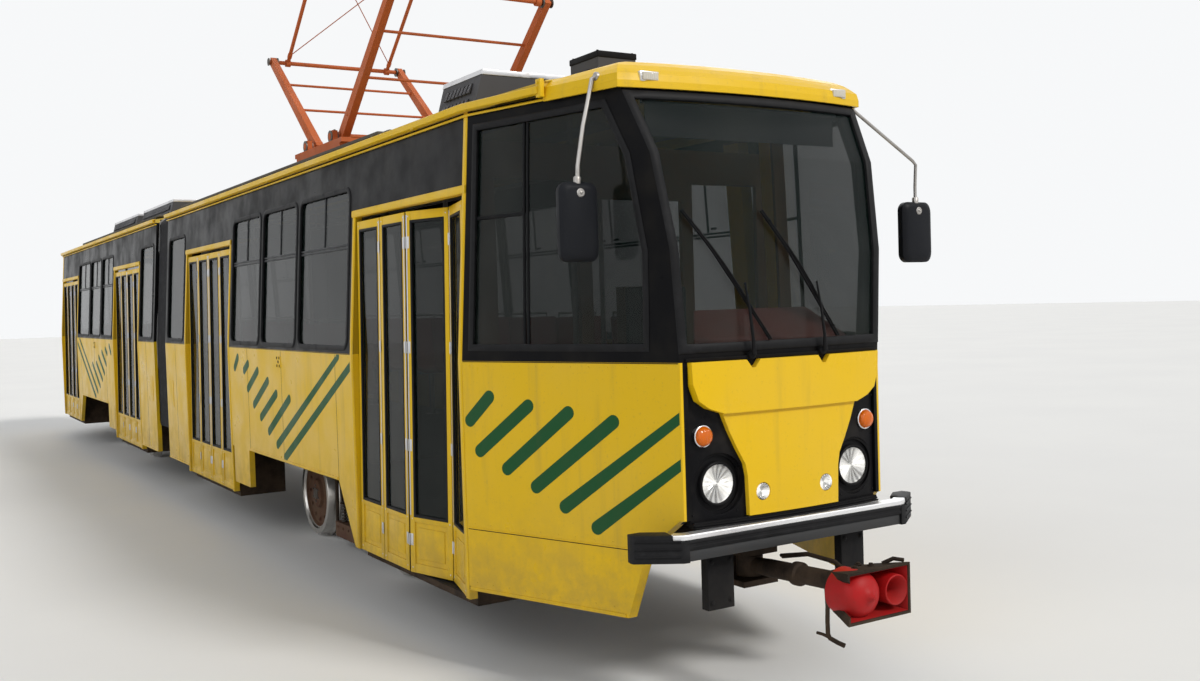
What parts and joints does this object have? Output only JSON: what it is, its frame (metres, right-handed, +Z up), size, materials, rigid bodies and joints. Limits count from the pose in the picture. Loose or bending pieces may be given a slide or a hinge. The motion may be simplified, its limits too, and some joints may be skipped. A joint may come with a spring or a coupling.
{
  "type": "articulated tram",
  "caption": "Articulated city tram on rail bogies, with folding doors, a driver's cab, a raised pantograph on its roof, side mirrors and couplers.",
  "frame": {"origin": "on the rail head below the articulation pivot, on the tram's centre plane", "axes": "+Z up, +Y towards the rear end, -Y towards the cab end, +X towards the side with no doors"},
  "size_m": [2.516, 19.3, 5.1897],
  "materials": {
    "yellow_paint": "gloss paint",
    "roof_paint": "weathered gloss paint",
    "black_paint": "satin paint",
    "dark_glass": "tinted",
    "bare_rail_steel": "worn",
    "brown_steel": "dusty",
    "grey_paint": "satin paint",
    "orange_paint": "faded paint",
    "rubber_fabric": "matt",
    "lamp_lens": "moulded",
    "seat_shell": "worn",
    "mirror_case": "satin",
    "interior_laminate": "satin",
    "bumper_rubber": "matt",
    "red_cast": "painted"
  },
  "bodies": {
    "front_section": {"cab_shell": "yellow_paint", "front_mask": "yellow_paint", "windscreen": "dark_glass", "front_door_side_wall": "yellow_paint", "front_plain_side_wall": "yellow_paint", "front_roof": "roof_paint", "front_roof_cap": "yellow_paint", "front_underframe": "brown_steel", "front_side_glass": "dark_glass", "front_bumper": "bumper_rubber", "front_lamps": "lamp_lens", "mirrors": "mirror_case", "wipers": "black_paint", "front_roof_boxes": "grey_paint", "cab_interior": "interior_laminate", "front_seats": "seat_shell", "bellows": "rubber_fabric", "panto_base": "orange_paint"},
    "rear_section": {"rear_end_shell": "yellow_paint", "rear_windscreen": "dark_glass", "rear_door_side_wall": "yellow_paint", "rear_plain_side_wall": "yellow_paint", "rear_roof": "roof_paint", "rear_roof_cap": "yellow_paint", "rear_underframe": "brown_steel", "rear_side_glass": "dark_glass", "rear_bumper": "bumper_rubber", "rear_lamps": "lamp_lens", "rear_roof_boxes": "grey_paint", "rear_seats": "seat_shell"},
    "front_bogie": {"front_bogie_frame": "brown_steel"},
    "front_outer_wheelset": {"front_outer_wheelset": "bare_rail_steel"},
    "front_inner_wheelset": {"front_inner_wheelset": "bare_rail_steel"},
    "front_coupler": {"front_coupler": "red_cast"},
    "rear_bogie": {"rear_bogie_frame": "brown_steel"},
    "rear_outer_wheelset": {"rear_outer_wheelset": "bare_rail_steel"},
    "rear_inner_wheelset": {"rear_inner_wheelset": "bare_rail_steel"},
    "rear_coupler": {"rear_coupler": "red_cast"},
    "door_1_front_outer": {"door_1_front_outer": "yellow_paint"},
    "door_1_front_inner": {"door_1_front_inner": "yellow_paint"},
    "door_1_rear_outer": {"door_1_rear_outer": "yellow_paint"},
    "door_1_rear_inner": {"door_1_rear_inner": "yellow_paint"},
    "door_2_front_outer": {"door_2_front_outer": "yellow_paint"},
    "door_2_front_inner": {"door_2_front_inner": "yellow_paint"},
    "door_2_rear_outer": {"door_2_rear_outer": "yellow_paint"},
    "door_2_rear_inner": {"door_2_rear_inner": "yellow_paint"},
    "door_3_front_outer": {"door_3_front_outer": "yellow_paint"},
    "door_3_front_inner": {"door_3_front_inner": "yellow_paint"},
    "door_3_rear_outer": {"door_3_rear_outer": "yellow_paint"},
    "door_3_rear_inner": {"door_3_rear_inner": "yellow_paint"},
    "door_4_front_outer": {"door_4_front_outer": "yellow_paint"},
    "door_4_front_inner": {"door_4_front_inner": "yellow_paint"},
    "door_4_rear_outer": {"door_4_rear_outer": "yellow_paint"},
    "door_4_rear_inner": {"door_4_rear_inner": "yellow_paint"},
    "panto_lower_front": {"panto_lower_front": "orange_paint"},
    "panto_upper_front": {"panto_upper_front": "orange_paint"},
    "panto_lower_rear": {"panto_lower_rear": "orange_paint"},
    "panto_upper_rear": {"panto_upper_rear": "orange_paint"},
    "panto_head": {"panto_head": "orange_paint"}
  },
  "joints": [
    {"name": "articulation", "type": "hinge", "parent": "front_section", "child": "rear_section", "pos_m": [0, 0, 0.77], "axis": [0, 0, 1], "range_deg": [-25, 25], "deforming": ["bellows"]},
    {"name": "front_bogie_turn", "type": "hinge", "parent": "front_section", "child": "front_bogie", "pos_m": [0, -4.45, 0.74], "axis": [0, 0, 1], "range_deg": [-8, 8]},
    {"name": "front_outer_axle_spin", "type": "hinge", "parent": "front_bogie", "child": "front_outer_wheelset", "pos_m": [0, -5.4, 0.35], "axis": [1, 0, 0], "continuous": true},
    {"name": "front_inner_axle_spin", "type": "hinge", "parent": "front_bogie", "child": "front_inner_wheelset", "pos_m": [0, -3.5, 0.35], "axis": [1, 0, 0], "continuous": true},
    {"name": "front_coupler_swing", "type": "hinge", "parent": "front_section", "child": "front_coupler", "pos_m": [0, -8.65, 0.56], "axis": [0, 0, 1], "range_deg": [-25, 25]},
    {"name": "rear_bogie_turn", "type": "hinge", "parent": "rear_section", "child": "rear_bogie", "pos_m": [0, 4.45, 0.74], "axis": [0, 0, 1], "range_deg": [-8, 8]},
    {"name": "rear_outer_axle_spin", "type": "hinge", "parent": "rear_bogie", "child": "rear_outer_wheelset", "pos_m": [0, 5.4, 0.35], "axis": [1, 0, 0], "continuous": true},
    {"name": "rear_inner_axle_spin", "type": "hinge", "parent": "rear_bogie", "child": "rear_inner_wheelset", "pos_m": [0, 3.5, 0.35], "axis": [1, 0, 0], "continuous": true},
    {"name": "rear_coupler_swing", "type": "hinge", "parent": "rear_section", "child": "rear_coupler", "pos_m": [0, 8.65, 0.56], "axis": [0, 0, 1], "range_deg": [-25, 25]},
    {"name": "door_1_front_fold", "type": "hinge", "parent": "front_section", "child": "door_1_front_outer", "pos_m": [-1.073, -7.573, 0.35166], "axis": [-0.0229, 0, -0.9997], "range_deg": [-15, 70]},
    {"name": "door_1_front_knuckle", "type": "hinge", "parent": "door_1_front_outer", "child": "door_1_front_inner", "pos_m": [-0.99316, -7.20151, 0.34983], "axis": [0.0229, 0, 0.9997], "range_deg": [-30, 140]},
    {"name": "door_1_rear_fold", "type": "hinge", "parent": "front_section", "child": "door_1_rear_outer", "pos_m": [-1.073, -6.015, 0.35166], "axis": [0.0229, 0, 0.9997], "range_deg": [0, 85]},
    {"name": "door_1_rear_knuckle", "type": "hinge", "parent": "door_1_rear_outer", "child": "door_1_rear_inner", "pos_m": [-1.092, -6.3945, 0.35209], "axis": [-0.0229, 0, -0.9997], "range_deg": [0, 170]},
    {"name": "door_2_front_fold", "type": "hinge", "parent": "front_section", "child": "door_2_front_outer", "pos_m": [-1.073, -2.8262, 0.35166], "axis": [-0.0229, 0, -0.9997], "range_deg": [0, 85]},
    {"name": "door_2_front_knuckle", "type": "hinge", "parent": "door_2_front_outer", "child": "door_2_front_inner", "pos_m": [-1.092, -2.4467, 0.35209], "axis": [0.0229, 0, 0.9997], "range_deg": [0, 170]},
    {"name": "door_2_rear_fold", "type": "hinge", "parent": "front_section", "child": "door_2_rear_outer", "pos_m": [-1.073, -1.2658, 0.35166], "axis": [0.0229, 0, 0.9997], "range_deg": [0, 85]},
    {"name": "door_2_rear_knuckle", "type": "hinge", "parent": "door_2_rear_outer", "child": "door_2_rear_inner", "pos_m": [-1.092, -1.6453, 0.35209], "axis": [-0.0229, 0, -0.9997], "range_deg": [0, 170]},
    {"name": "door_3_front_fold", "type": "hinge", "parent": "rear_section", "child": "door_3_front_outer", "pos_m": [-1.073, 2.8262, 0.35166], "axis": [0.0229, 0, 0.9997], "range_deg": [0, 85]},
    {"name": "door_3_front_knuckle", "type": "hinge", "parent": "door_3_front_outer", "child": "door_3_front_inner", "pos_m": [-1.092, 2.4467, 0.35209], "axis": [-0.0229, 0, -0.9997], "range_deg": [0, 170]},
    {"name": "door_3_rear_fold", "type": "hinge", "parent": "rear_section", "child": "door_3_rear_outer", "pos_m": [-1.073, 1.2658, 0.35166], "axis": [-0.0229, 0, -0.9997], "range_deg": [0, 85]},
    {"name": "door_3_rear_knuckle", "type": "hinge", "parent": "door_3_rear_outer", "child": "door_3_rear_inner", "pos_m": [-1.092, 1.6453, 0.35209], "axis": [0.0229, 0, 0.9997], "range_deg": [0, 170]},
    {"name": "door_4_front_fold", "type": "hinge", "parent": "rear_section", "child": "door_4_front_outer", "pos_m": [-1.073, 7.573, 0.35166], "axis": [0.0229, 0, 0.9997], "range_deg": [0, 85]},
    {"name": "door_4_front_knuckle", "type": "hinge", "parent": "door_4_front_outer", "child": "door_4_front_inner", "pos_m": [-1.092, 7.1935, 0.35209], "axis": [-0.0229, 0, -0.9997], "range_deg": [0, 170]},
    {"name": "door_4_rear_fold", "type": "hinge", "parent": "rear_section", "child": "door_4_rear_outer", "pos_m": [-1.073, 6.015, 0.35166], "axis": [-0.0229, 0, -0.9997], "range_deg": [0, 85]},
    {"name": "door_4_rear_knuckle", "type": "hinge", "parent": "door_4_rear_outer", "child": "door_4_rear_inner", "pos_m": [-1.092, 6.3945, 0.35209], "axis": [0.0229, 0, 0.9997], "range_deg": [0, 170]},
    {"name": "panto_raise", "type": "hinge", "parent": "front_section", "child": "panto_lower_front", "pos_m": [0, -4.6, 3.25], "axis": [-1, 0, 0], "range_deg": [-33, 12]},
    {"name": "panto_rear_raise", "type": "hinge", "parent": "front_section", "child": "panto_lower_rear", "pos_m": [0, -4, 3.25], "axis": [1, 0, 0], "range_deg": [-33, 12]},
    {"name": "panto_front_knee", "type": "hinge", "parent": "panto_lower_front", "child": "panto_upper_front", "pos_m": [0, -5.71132, 4.14993], "axis": [1, 0, 0], "range_deg": [-66, 24]},
    {"name": "panto_rear_knee", "type": "hinge", "parent": "panto_lower_rear", "child": "panto_upper_rear", "pos_m": [0, -2.88868, 4.14993], "axis": [-1, 0, 0], "range_deg": [-66, 24]},
    {"name": "panto_head_level", "type": "hinge", "parent": "panto_upper_front", "child": "panto_head", "pos_m": [0, -4.6, 5.04986], "axis": [-1, 0, 0], "range_deg": [-33, 12]}
  ],
  "couplings": [
    {"joint": "door_1_front_knuckle", "follows": "door_1_front_fold", "ratio": 2},
    {"joint": "door_1_rear_knuckle", "follows": "door_1_rear_fold", "ratio": 2},
    {"joint": "door_2_front_knuckle", "follows": "door_2_front_fold", "ratio": 2},
    {"joint": "door_2_rear_knuckle", "follows": "door_2_rear_fold", "ratio": 2},
    {"joint": "door_3_front_knuckle", "follows": "door_3_front_fold", "ratio": 2},
    {"joint": "door_3_rear_knuckle", "follows": "door_3_rear_fold", "ratio": 2},
    {"joint": "door_4_front_knuckle", "follows": "door_4_front_fold", "ratio": 2},
    {"joint": "door_4_rear_knuckle", "follows": "door_4_rear_fold", "ratio": 2},
    {"joint": "panto_rear_raise", "follows": "panto_raise", "ratio": 1},
    {"joint": "panto_front_knee", "follows": "panto_raise", "ratio": 2},
    {"joint": "panto_rear_knee", "follows": "panto_raise", "ratio": 2},
    {"joint": "panto_head_level", "follows": "panto_raise", "ratio": 1}
  ]
}
